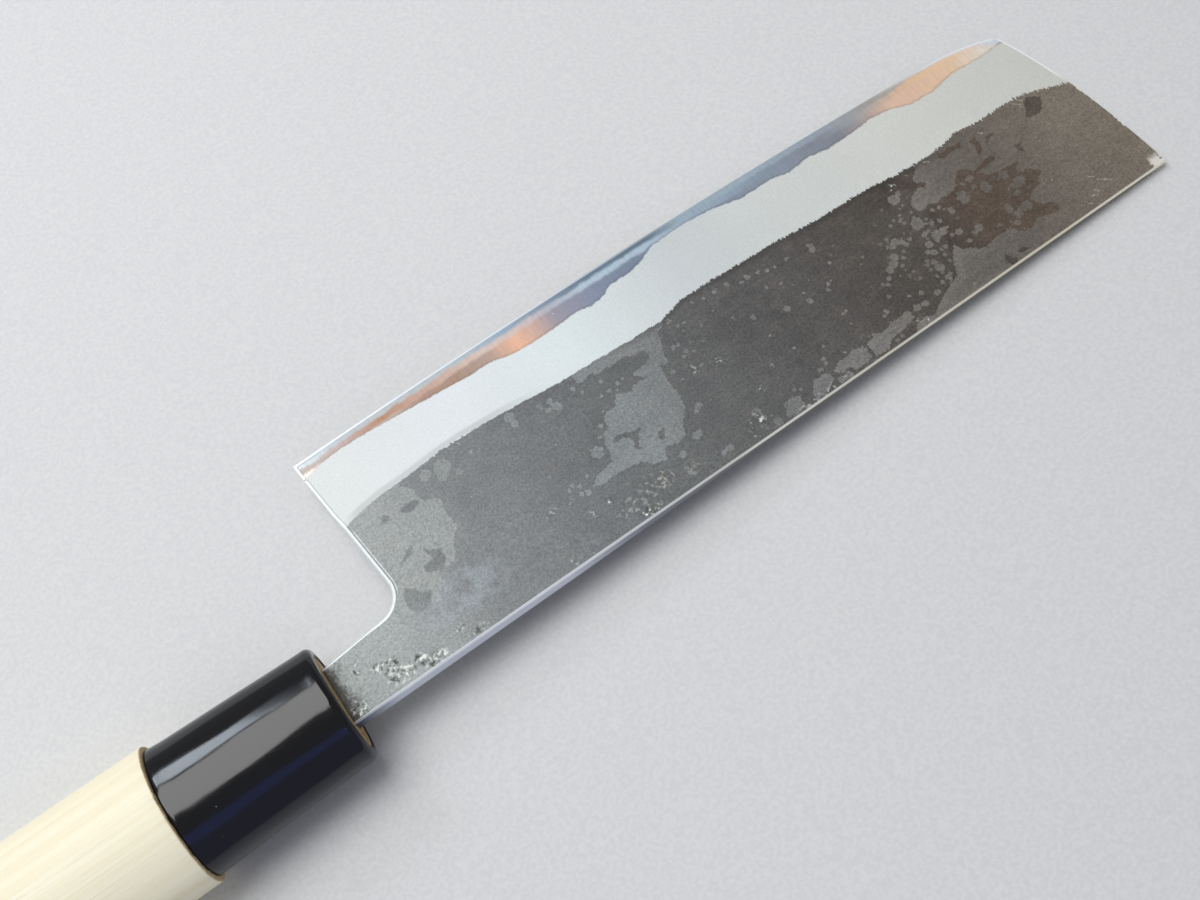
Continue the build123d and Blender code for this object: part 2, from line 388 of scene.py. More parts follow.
class Finish:
    """A material, with one method that adds any node, and the knife's own millimetres to draw by."""

    def __init__(self, name, **surface):
        self.material = bpy.data.materials.new(name)
        self.material.use_nodes = True
        self.tree = self.material.node_tree
        self.shader = self.tree.nodes["Principled BSDF"]
        for socket, value in surface.items():
            self.shader.inputs[socket.replace("_", " ")].default_value = value
        spot = self.node("TexCoord", {}, output="Object")
        shift = -(KNIFE.transposed() @ KNIFE_ORIGIN)
        turn = (0, -TILT, 0)
        self.place = self.node("Mapping", {}, spot, tuple(shift), turn, (1 / MM,) * 3)
        parts = [self.node("SeparateXYZ", {}, self.place, output=axis) for axis in "XY"]
        self.along, self.across = parts

    def node(self, kind, settings, *values, output=0, **named):
        added = self.tree.nodes.new("ShaderNode" + kind)
        for key, value in settings.items():
            if key == "stops":
                self.set_stops(added.color_ramp, value)
            else:
                setattr(added, key, value)
        for slot, value in list(enumerate(values)) + list(named.items()):
            if value is None:
                continue
            socket = added.inputs[slot.replace("_", " ") if isinstance(slot, str) else slot]
            if isinstance(value, Wire):
                self.tree.links.new(value.socket, socket)
            else:
                socket.default_value = value
        return Wire(self, added.outputs[output])

    def set_stops(self, ramp, stops):
        while len(ramp.elements) < len(stops):
            ramp.elements.new(1.0)
        for element, (place, colour) in zip(ramp.elements, stops):
            element.position = place
            element.color = paint(*colour)

    def noted(self, name):
        """A number that was written on the piece's points."""
        return self.node("Attribute", {"attribute_name": name}, output="Fac")

    def speckle(self, size, detail=2.0, stretch=(1, 1, 1), shift=0.0, rough=0.5):
        """Noise around 0.5, with features about size millimetres across, drawn out by the stretch."""
        turned = self.node("Mapping", {}, self.place, (shift,) * 3, None, tuple(1 / s for s in stretch))
        return self.node("TexNoise", {}, turned, None, 1 / size, detail, rough)

    def dots(self, spacing, radius, share, shift=0.0):
        """Round dots, one in each cell of the spacing, kept in a share of the cells."""
        moved = self.node("Mapping", {}, self.place, (shift,) * 3)
        cells = self.node("TexVoronoi", {}, moved, None, 1 / spacing)
        kept = self.node("SeparateXYZ", {}, cells.twin("Color")).rise(share + 0.001, share)
        return (cells * spacing).rise(radius, radius * 0.5) * kept

    def blend(self, share, first, second):
        """Mixes two colours."""
        added = self.tree.nodes.new("ShaderNodeMix")
        added.data_type = "RGBA"
        for socket, value in zip(MIX_COLOUR_INPUTS, (share, first, second)):
            if isinstance(value, Wire):
                self.tree.links.new(value.socket, added.inputs[socket])
            else:
                added.inputs[socket].default_value = value
        return Wire(self, added.outputs[MIX_COLOUR_OUTPUT])

    def coats(self, colour, *layers):
        """Lays one colour after another over the first, each with its own share."""
        for share, over in layers:
            colour = self.blend(share, colour, paint(*over))
        return colour

    def along_ramp(self, stops):
        """A colour that changes along the blade, each stop its place in millimetres and its colour."""
        shares = [(place / RAMP_LENGTH, colour) for place, *colour in stops]
        return self.node("ValToRGB", {"stops": shares}, self.along / RAMP_LENGTH)

    def field(self, along, across, length, width):
        """How far out each place lies from the middle of an oval field: 1 on its rim, by its half sizes."""
        return abs((self.along - along) / length) ** 2.0 + abs((self.across - across) / width) ** 2.0

    def tint(self, colour, amount):
        """Lightens or darkens a colour by a factor."""
        return self.node("VectorMath", {"operation": "SCALE"}, colour, Scale=amount)

    def dress(self, colour=None, roughness=None, metallic=None, height=None, depth=0.1):
        for name, wire in (("Base Color", colour), ("Roughness", roughness), ("Metallic", metallic)):
            if wire is not None:
                self.tree.links.new(wire.socket, self.shader.inputs[name])
        if height is not None:
            bump = self.node("Bump", {}, 1.0, Distance=depth * MM, Height=height)
            self.tree.links.new(bump.socket, self.shader.inputs["Normal"])
        return self.material


def paint(red, green, blue):
    """A colour given as it looks on a screen, from 0 to 255, in the linear values that a shader takes."""
    shares = [value / 255 for value in (red, green, blue)]
    return tuple(s / 12.92 if s <= 0.04045 else ((s + 0.055) / 1.055) ** 2.4 for s in shares) + (1.0,)


# Colours along the blade: each its place in millimetres, and its colour as it looks on a screen
# The scale's ramps are lightest beside the handle and fall off towards the tip: besides the scale's own
# tone, that is a painted sheen
DARK_SCALE_AND_SHEEN = [
    (0, 168, 176, 172), (12, 176, 182, 179), (30, 142, 145, 145), (56, 122, 125, 126),
    (78, 110, 112, 111), (100, 98, 97, 96), (128, 88, 83, 78), (187, 98, 88, 78),
]
PALE_SCALE_AND_SHEEN = [
    (0, 184, 190, 184), (20, 176, 180, 177), (38, 156, 160, 158), (70, 144, 149, 149),
    (92, 127, 128, 127), (125, 115, 112, 107), (144, 116, 111, 103), (160, 112, 104, 96),
    (187, 136, 126, 112),
]
BROWN_SCALE = [
    (128, 66, 60, 55), (141, 68, 60, 54), (147, 88, 78, 69), (153, 99, 85, 73), (170, 101, 88, 76),
]
HAZE = [
    (15, 216, 220, 216), (46, 223, 227, 228), (72, 223, 231, 230), (98, 208, 213, 213),
    (124, 216, 219, 215), (150, 221, 222, 215), (187, 216, 217, 208),
]
# The core's ramps are partly painted reflection: their orange and steel blue stand for mirrored
# surroundings, their brown and tan are stains
CORE_AT_WELD = [
    (15, 238, 228, 216), (28, 195, 176, 164), (33, 184, 174, 164), (42, 168, 138, 124),
    (50, 166, 140, 122), (58, 184, 160, 148), (64, 242, 190, 160), (68, 216, 180, 164),
    (73, 164, 160, 170), (82, 144, 153, 174), (90, 134, 146, 166), (104, 144, 156, 172),
    (128, 156, 166, 180), (142, 148, 152, 162), (148, 188, 176, 174), (155, 248, 210, 186),
    (170, 246, 212, 178), (178, 243, 232, 216),
]
CORE_MIDDLE = [
    (15, 168, 156, 150), (24, 174, 157, 153), (34, 168, 126, 100), (41, 186, 154, 138),
    (48, 198, 168, 154), (57, 215, 195, 184), (65, 218, 197, 189), (73, 188, 189, 198),
    (82, 190, 209, 222), (97, 188, 206, 220), (104, 174, 192, 208), (120, 158, 174, 190),
    (137, 150, 155, 164), (146, 172, 180, 187), (155, 230, 202, 180), (163, 252, 212, 172),
    (172, 248, 214, 182), (177, 244, 226, 208), (181, 222, 226, 234),
]
CORE_AT_EDGE = [
    (15, 194, 202, 204), (26, 172, 180, 186), (34, 180, 184, 186), (52, 184, 193, 197),
    (62, 162, 183, 201), (73, 142, 158, 172), (82, 118, 139, 157), (97, 110, 130, 144),
    (105, 170, 189, 200), (122, 176, 192, 205), (138, 170, 181, 193), (152, 185, 182, 177),
    (162, 210, 196, 184), (172, 238, 226, 212), (177, 232, 234, 238), (183, 240, 246, 255),
]
RIM_SHINE = [
    (0, 222, 230, 228), (40, 230, 234, 238), (80, 222, 222, 216), (184, 232, 224, 210),
    (187, 246, 242, 234),
]


class ForgedSkin(Finish):
    """The zones on both sides of the blade: black scale, hazy soft iron, bright core, and rims with painted
    highlights.
    """

    def __init__(self, name, shift):
        super().__init__(name, IOR=1.33)
        self.depth = self.noted("edge_depth")
        self.scale_gap = self.noted("scale_gap")
        self.front_gap = self.noted("front_gap")
        self.rim_gap = self.noted("rim_gap")
        self.bare = self.noted("bare")
        self.fine = self.speckle(0.5, 3.0, shift=shift)
        self.cloud = self.speckle(14.0, 3.0, shift=shift)
        self.mottle = self.speckle(3.2, 3.0, shift=shift + 5)
        self.crumb = self.speckle(0.85, 2.0, shift=shift + 17)
        self.brushed = self.speckle(0.5, 3.0, (12, 1, 1), shift + 21)
        self.dust = self.dots(3.4, 0.16, 0.6, shift)
        self.beads = self.dots(2.3, 0.42, 0.3, shift + 4) * self.cloud.rise(0.45, 0.62)
        self.cells = self.dots(1.3, 0.56, 0.55, shift + 8)
        self.fine_sway = self.fine - 0.5
        self.mottle_sway = self.mottle - 0.5
        self.grain_sway = self.speckle(0.26, 2.0, shift=shift) - 0.5
        self.tick_sway = self.speckle(0.24, 3.0, (1, 5.0, 1), shift + 9) - 0.5
        self.jag_sway = self.speckle(1.1, 2.0, shift=shift + 13) - 0.5
        self.line_sway = self.speckle(0.42, 3.0, (1, 9.0, 1), shift + 3) - 0.5

    def black_share(self):
        """Where the scale still covers the iron, down to its ragged border."""
        ragged = self.along.rise(82, 92) * 1.3 + self.along.rise(162, 170) * 0.9 + 0.2
        chipped = self.along.rise(30, 38) * 0.5 + abs(self.along - 41.5).rise(5.0, 2.0) * 1.6 + 0.2
        border = self.scale_gap + self.tick_sway * ragged + self.jag_sway * chipped
        return (border + self.fine_sway * 0.4).rise(-0.14, 0.1)

    def patch_share(self):
        """Where the scale has flaked pale, blistered or frothed up."""
        patch = (self.bare + self.mottle_sway * 0.8 + self.fine_sway * 0.8).rise(-0.1, 0.12)
        froth = self.cells * self.field(140, 15, 8.5, 11).rise(1.2, 0.7)
        froth = froth.most(self.cells * self.field(108, 3, 20, 3.4).rise(1.2, 0.8))
        return patch.most(self.beads * self.along.rise(40, 80) * 0.55).most(froth * 0.9)

    def scale_colour(self, patch):
        """Black scale: darker and browner towards the tip, and paler beside the handle, where its ramps
        hold a painted sheen.
        """
        blistered = self.bare.rise(2.4, 1.0) * self.along.rise(92, 110) * self.along.rise(156, 142)
        pale = self.tint(self.along_ramp(PALE_SCALE_AND_SHEEN), 1 + blistered * 0.2)
        browned = (self.noted("brown") + self.mottle_sway * 1.2 + self.fine_sway * 0.8).rise(-0.3, 0.35)
        browned = browned * self.along.rise(128, 150)
        scale = self.blend(browned, self.along_ramp(DARK_SCALE_AND_SHEEN), self.along_ramp(BROWN_SCALE))
        scale = self.blend(patch, scale, pale)
        # A pale bluish painted sheen over the scale near the heel
        heel_sheen = self.field(28, 8.8, 11, 5.4).rise(1.1, 0.0) * self.mottle.rise(0.25, 0.65)
        tarnish = (self.mottle * 0.6 + self.brushed * 0.4).rise(0.5, 0.66)
        scale = self.coats(scale, (heel_sheen * 0.62, (172, 182, 188)), (tarnish * 0.16, (126, 112, 98)))
        pitted = (self.noted("mark") + self.mottle_sway * 0.8 + self.fine_sway * 0.6).rise(-0.1, 0.3)
        scale = self.tint(scale, 1 - pitted * (self.along.rise(60, 30) * 0.16 + 0.06))
        broad = 0.66 + self.cloud * 0.42 + self.mottle_sway * 0.3
        scale = self.tint(scale, broad + (self.brushed - 0.5) * 0.26)
        scale = self.tint(scale, 1 + self.fine_sway * 1.0 + self.grain_sway * 0.9)
        rim = (self.scale_gap + self.tick_sway * 1.6).rise(1.8, 0.1)
        rim = rim * self.along.rise(66, 96) * self.along.rise(164, 148)
        stain = (self.along + self.mottle_sway * 5.0 + self.fine_sway * 3.0).rise(2.6, 0.2)
        # The rough lumps get painted glints and painted shadows: pale and dark specks over them
        lump_glints_and_shade = (self.noted("rough") * 1.7).least(1.0)
        scratched = (self.noted("scratch") + self.fine_sway * 0.4).rise(-0.2, 0.02)
        return self.coats(
            scale,
            (rim * 0.5, (60, 57, 54)),
            (stain * 0.85, (54, 48, 36)),
            (lump_glints_and_shade * self.crumb.rise(0.47, 0.36), (88, 90, 82)),
            (lump_glints_and_shade * self.crumb.rise(0.54, 0.64), (234, 238, 228)),
            (scratched * 0.7, (190, 184, 168)),
            (self.dust * 0.7, (190, 190, 182)),
        )

    def haze_colour(self):
        """Hazy soft iron of the ground bevel, brightest at the heel, with a soft painted shadow line under
        the scale.
        """
        light = 0.93 + self.cloud * 0.07 + self.grain_sway * 0.3 + self.fine_sway * 0.12
        haze = self.tint(self.along_ramp(HAZE), light)
        below = self.scale_gap * -1.0
        shadow = below.rise(0.0, 0.2) * below.rise(1.6, 0.9)
        shadow = shadow * self.along.rise(16, 21) * self.along.rise(66, 48)
        return self.blend(shadow * 0.55, haze, paint(176, 180, 178))

    def core_colour(self, weld):
        """Bright core along the edge: brown stains, orange and steel blue that are painted reflection, then
        tan at the toe.
        """
        waved = self.depth + self.mottle_sway * 1.6 + self.along.rise(152, 164) * 0.9
        core = self.blend(waved.rise(3.3, 2.4), self.along_ramp(CORE_AT_WELD), self.along_ramp(CORE_MIDDLE))
        core = self.blend(waved.rise(1.9, 1.0), core, self.along_ramp(CORE_AT_EDGE))
        core = self.tint(core, 0.95 + self.line_sway * 0.28 + self.grain_sway * 0.18)
        # A painted highlight along the honed edge, pale blue-white
        keen = self.depth.rise(0.6, 0.15) * self.along.rise(120, 60)
        keen = keen.most(self.depth.rise(0.7, 0.2) * self.along.rise(150, 172))
        core = self.coats(core, (self.dust * 0.8, (238, 240, 242)), (keen, (238, 243, 248)))
        return self.tint(core, 1 - weld.rise(-0.7, -0.1) * 0.28)

    def toe_rim(self):
        """The line of light along the front end, beside the toe."""
        return (self.front_gap + self.fine_sway * 0.2).rise(0.55, 0.25) * self.across.rise(24, 30)

    def rim_highlights(self, throat):
        """Painted highlights on the rims: a bright arris along the spine and the neck, a double one in the
        throat, and a bright front edge broken by nicks and a burr.
        """
        nicked = (self.front_gap + self.fine_sway * 0.7).rise(0.5, 0.15)
        nicked = nicked * (self.front_gap + 0.2 + self.jag_sway * 2.0).rise(0.3, 0.0)
        burr = (self.along + self.fine_sway * 1.2).rise(184.9, 185.4)
        burr = burr * (self.across + self.fine_sway * 2.0).rise(3.2, 1.4)
        burr = burr * (self.fine + self.mottle).rise(0.78, 0.94)
        inner = abs(self.rim_gap - 0.8).rise(0.2, 0.05)
        inner = inner * self.across.rise(15, 17) * self.across.rise(31.5, 30.5)
        wide = self.along.rise(9, 14) * 0.2 + 0.16
        outer = self.rim_gap.rise(wide + 0.12, wide - 0.06)
        throat_highlights = throat * outer.most(inner * (0.3 + self.fine * 0.6))
        arris = self.rim_gap.rise(0.2, 0.02) * self.across.rise(2.0, 1.0) * 0.8
        return nicked.most(burr).most(throat_highlights).most(arris)


def forged_skin(name, shift):
    """Lays the zones of the blade's skin over one another, each with its own polish and grain."""
    skin = ForgedSkin(name, shift)
    weld = skin.noted("weld_gap") + skin.jag_sway * 0.6 + skin.fine_sway * 0.3
    weld_mist = weld.rise(-0.3, 0.15)
    black = skin.black_share()
    patch = skin.patch_share()
    ground = skin.blend(weld_mist, skin.core_colour(weld), skin.haze_colour())
    colour = skin.blend(black, ground, skin.scale_colour(patch))

    throat = skin.along.rise(21, 19) * skin.across.rise(11, 12)
    # A painted shade line between the two painted highlights in the throat
    throat_shade_line = throat * abs(skin.rim_gap - 0.58).rise(0.14, 0.04) * skin.across.rise(15, 17)
    colour = skin.blend(throat_shade_line * 0.35, colour, paint(96, 100, 98))
    toe_rim = skin.toe_rim()
    # Painted highlights along the rims, and the painted line of light beside the toe
    bright = skin.rim_highlights(throat).most(toe_rim)
    shine = skin.blend(toe_rim, skin.along_ramp(RIM_SHINE), paint(250, 253, 255))
    colour = skin.blend(bright * 0.9, colour, shine)

    rough = black * (patch * 0.06 + 0.38)
    rough = rough + (1 - black) * (weld_mist * 0.2 + 0.32) + skin.fine_sway * 0.1
    toe_light = skin.along.rise(154, 178) * (1 - weld_mist) * 0.16
    metal = (1 - black) * (0.32 - weld_mist * 0.12 - toe_light) + (bright - toe_rim) * 0.2
    crust = 0.5 + skin.mottle_sway * 0.5 - patch * 0.16 + skin.fine_sway * 0.6 + skin.grain_sway * 0.3
    ground_lines = skin.grain_sway * 0.12 + skin.line_sway * 0.1 * (1 - weld_mist)
    return skin.dress(colour, rough, metal, black * crust + (1 - black) * ground_lines, 0.09)


def bright_spine(name):
    """The spine, the throat and the front end: filed bright, with file marks along them. Along the spine
    the colour is painted light: a bluish painted reflection on the flat face and a painted highlight on the
    chamfer.
    """
    spine = Finish(name, IOR=1.5)
    marks = spine.speckle(0.3, 3.0, (30, 1, 1))
    blotch = spine.speckle(5.0, 2.0)
    # Painted reflection on the spine's flat face: dark at the neck, pale blue-white near the heel, darker
    # towards the tip
    flat = spine.along_ramp([
        (0, 80, 88, 112), (9, 232, 240, 255), (46, 236, 240, 255), (62, 152, 158, 170),
        (90, 122, 120, 114), (160, 122, 115, 100), (183, 128, 121, 108), (187, 210, 204, 192),
    ])
    # Painted highlight on the spine's chamfer
    chamfer = spine.along_ramp([
        (0, 180, 188, 204), (10, 246, 250, 255), (50, 248, 250, 255), (80, 230, 229, 224),
        (100, 252, 250, 240), (116, 236, 230, 212), (130, 246, 240, 222), (160, 246, 236, 208),
        (187, 255, 250, 230),
    ])
    facing = spine.node("NewGeometry", {}, output="Normal")
    level = spine.node("SeparateXYZ", {}, facing, output="Z")
    arris = abs(level).rise(0.3, 0.5)
    colour = spine.blend(arris, flat, chamfer)
    ends = spine.along_ramp([(10, 226, 232, 228), (187, 214, 206, 192)])
    colour = spine.blend(spine.across.rise(8, 11), colour, ends)
    colour = spine.tint(colour, 0.82 + marks * 0.28 + blotch * 0.1)
    rough = 0.3 + marks * 0.16
    return spine.dress(colour, rough, 0.4 - arris * 0.3, marks, 0.02)


LEFT_SKIN = forged_skin("forged_skin_left", 0.0)
RIGHT_SKIN = forged_skin("forged_skin_right", 37.0)
SPINE_STEEL = bright_spine("filed_steel")


def no_relief(along, across, side):
    """The polished core stays as it is ground."""
    return np.zeros(along.shape)


def no_patches(along, across):
    """The same notes as for a scaled side, with every patch far away."""
    far = np.full(along.shape, -NOTE_REACH)
    return {"bare": far, "mark": far, "brown": far, "scratch": far, "rough": np.zeros(along.shape)}


def finish_layer(piece, node, skin):
    """Gives a layer its materials: the skin, also where the inner weld comes to light, and filed steel."""
    for number, material in enumerate((skin, SPINE_STEEL, SPINE_STEEL)):
        piece.data.materials[number] = material
    for face in piece.data.polygons:
        if face.material_index == INNER and abs((face.normal @ KNIFE).z) > FACING:
            face.material_index = SKIN
    alone(piece)
    bpy.ops.object.shade_smooth_by_angle(angle=LAYER_CREASE)
    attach(piece, "root")
    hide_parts(node)


core = forged_layer("core_steel", "blade_core", 0)
core_spots = lay_on_surface(core, no_relief)
measure_skin(core, core_spots, no_patches)
finish_layer(core, "core_steel", LEFT_SKIN)

# Left cladding: soft iron, forge-welded to the core, on the side that lies upwards.
# Its cheek keeps the black forge scale, which has flaked in pale patches and round blisters,
# and below the scale it is ground to a hazy white band that ends at the wavy weld.
PALE_PATCHES = [
    [(16.0, 32.9), (20.5, 34.2), (29.6, 34.4), (30.2, 32.6), (31.4, 31.2), (31.2, 29.6), (32.0, 28.0),
     (33.0, 27.8), (34.6, 26.5), (33.9, 24.8), (33.9, 22.6), (34.2, 20.4), (33.0, 19.3), (31.8, 18.0),
     (31.2, 16.2), (30.1, 15.1), (27.6, 15.0), (26.0, 14.3), (26.6, 12.8), (25.1, 11.6), (24.1, 10.1),
     (22.4, 10.1), (18.0, 11.0), (16.6, 14.5)],
    [(58.6, 11.3), (60.5, 12.8), (64.6, 13.4), (65.2, 15.0), (65.4, 17.4), (66.4, 19.0), (68.0, 19.8),
     (67.8, 21.4), (69.3, 22.3), (71.2, 22.3), (72.8, 24.2), (74.4, 23.8), (75.3, 23.2), (76.6, 23.8),
     (78.9, 24.0), (77.5, 25.0), (78.5, 26.2), (81.7, 26.5), (82.9, 27.0), (82.6, 28.6), (80.4, 29.3),
     (76.0, 29.5), (74.6, 30.2), (73.0, 29.9), (71.5, 30.8), (69.5, 30.2), (68.0, 31.0), (68.4, 33.0),
     (88.8, 32.6), (88.8, 30.9), (87.0, 30.2), (86.4, 28.3), (85.3, 26.4), (84.9, 24.0), (84.0, 23.6),
     (83.2, 24.6), (82.7, 22.5), (82.2, 20.0), (82.4, 17.2), (81.8, 14.2), (80.5, 12.8), (79.2, 11.5),
     (78.6, 9.8), (76.6, 9.1), (75.2, 9.8), (73.8, 9.7), (72.8, 7.8), (70.2, 8.4), (69.3, 9.9),
     (67.0, 10.7), (64.0, 10.9), (60.0, 10.8)],
    [(95.4, 1.0), (96.6, 2.8), (98.6, 4.1), (100.4, 3.4), (100.0, 1.2), (98.0, 0.6)],
    [(102.2, 0.5), (102.8, 2.6), (104.4, 4.2), (107.2, 4.2), (107.8, 2.4), (105.4, 0.8)],
    [(108.3, 3.2), (110.5, 4.5), (114.0, 4.7), (115.7, 4.3), (116.1, 2.4), (114.8, 0.9), (112.8, 1.1),
     (111.2, 2.3), (109.6, 2.3)],
    [(116.9, 1.0), (116.7, 4.2), (119.6, 4.6), (121.5, 4.4), (123.5, 4.8), (126.0, 4.9), (127.6, 5.3),
     (127.5, 3.3), (124.5, 2.4), (121.5, 2.2), (119.8, 0.9)],
    [(125.0, -0.5), (127.0, 1.6), (129.0, 1.9), (131.0, 1.3), (133.0, 2.4), (135.2, 3.4), (137.6, 4.4),
     (139.6, 5.2), (140.5, 6.7), (141.3, 8.3), (142.8, 9.9), (143.7, 10.7), (144.2, 9.0), (145.8, 8.2),
     (147.0, 7.0), (148.6, 6.6), (150.6, 7.0), (152.6, 7.3), (154.8, 7.0), (155.0, 5.5), (156.4, 4.9),
     (158.0, 4.4), (159.6, 5.4), (160.6, 5.5), (162.2, 4.5), (164.0, 4.2), (165.3, 4.9), (164.5, 6.5),
     (162.8, 7.4), (161.9, 9.2), (163.4, 10.9), (165.4, 10.8), (166.0, 12.0), (167.7, 12.8),
     (167.0, 14.3), (166.2, 15.1), (164.2, 16.2), (165.9, 17.6), (163.6, 17.7), (162.6, 18.1),
     (160.6, 18.3), (159.0, 18.7), (158.4, 19.8), (157.0, 20.4), (157.1, 21.8), (156.3, 22.7),
     (154.8, 22.9), (153.3, 21.9), (152.9, 20.8), (151.8, 20.1), (149.8, 19.8), (148.6, 20.6),
     (147.6, 20.0), (145.9, 20.3), (145.5, 21.2), (144.8, 20.3), (143.2, 20.5), (142.8, 22.6),
     (144.2, 24.2), (146.6, 24.7), (147.7, 24.0), (148.9, 25.1), (146.9, 25.6), (146.7, 26.6),
     (148.6, 28.4), (150.0, 31.5), (190.0, 31.5), (190.0, -0.5)],
]
DARK_MARKS = [
    [(19.9, 15.9), (21.2, 14.8), (22.2, 13.5), (23.8, 12.6), (23.2, 11.5), (22.2, 10.4), (20.0, 10.1),
     (18.5, 12.0), (18.6, 13.8), (19.0, 15.0)],
    [(25.0, 17.3), (27.0, 17.6), (28.6, 18.8), (29.4, 18.2), (29.2, 16.0), (28.0, 15.2), (25.4, 15.4),
     (24.6, 16.4)],
    [(26.5, 20.3), (27.8, 19.2), (28.9, 18.5), (27.0, 18.2)],
    [(21.3, 19.8), (23.0, 20.2), (24.6, 20.8), (25.4, 22.0), (24.2, 22.0), (22.8, 21.0), (21.3, 20.5)],
    [(26.9, 29.4), (29.0, 29.6), (31.0, 29.3), (30.6, 28.1), (28.6, 27.7), (27.2, 28.3)],
    [(23.1, 29.9), (24.2, 30.4), (25.0, 29.4), (23.9, 28.5), (23.0, 28.8)],
    [(66.4, 16.8), (68.2, 17.3), (69.6, 17.0), (71.2, 16.2), (72.9, 15.9), (71.5, 15.1), (71.4, 14.2),
     (70.5, 13.6), (70.2, 12.0), (69.5, 13.4), (70.1, 15.3), (69.0, 16.1), (67.4, 16.2)],
    [(75.1, 13.3), (76.9, 13.9), (75.8, 12.4), (75.1, 10.9), (74.2, 11.9), (74.5, 13.1)],
    [(73.9, 29.5), (79.0, 30.0), (80.4, 28.5), (82.5, 28.8), (82.7, 26.9), (81.0, 26.4), (79.2, 27.5),
     (77.4, 27.2), (75.1, 28.0)],
    [(75.0, 25.4), (78.4, 25.2), (79.6, 23.8), (78.0, 24.0), (76.0, 24.7)],
    [(154.4, 28.6), (155.6, 28.2), (157.2, 28.6), (158.6, 27.9), (159.8, 28.0), (159.2, 26.8),
     (157.6, 27.2), (155.6, 27.1), (154.2, 26.9)],
    [(161.0, 26.9), (162.8, 27.1), (162.5, 25.4), (162.2, 24.0), (160.2, 22.8), (160.6, 24.0),
     (161.2, 25.4)],
    [(163.4, 24.5), (165.0, 25.9), (166.6, 25.6), (165.0, 24.9)],
    [(157.4, 20.9), (160.4, 21.8), (162.6, 21.6), (162.6, 20.6), (160.0, 20.5), (157.8, 20.4)],
    [(167.2, 20.9), (168.8, 20.8), (170.2, 21.9), (169.0, 20.3), (168.2, 19.9), (168.4, 18.3),
     (167.6, 18.4), (167.5, 19.8)],
    [(173.6, 24.6), (175.0, 25.8), (175.6, 27.4), (177.2, 27.8), (179.3, 26.6), (178.6, 24.9),
     (176.6, 23.5), (174.6, 23.7)],
    [(148.9, 1.4), (149.8, 3.3), (151.2, 1.2), (150.4, 0.1), (149.6, 0.2)],
    [(151.8, 2.2), (153.4, 2.4), (154.8, 1.0), (153.6, 1.4), (152.4, 1.6)],
    [(160.9, 7.0), (164.4, 6.8), (164.0, 5.9), (161.4, 5.9)],
]
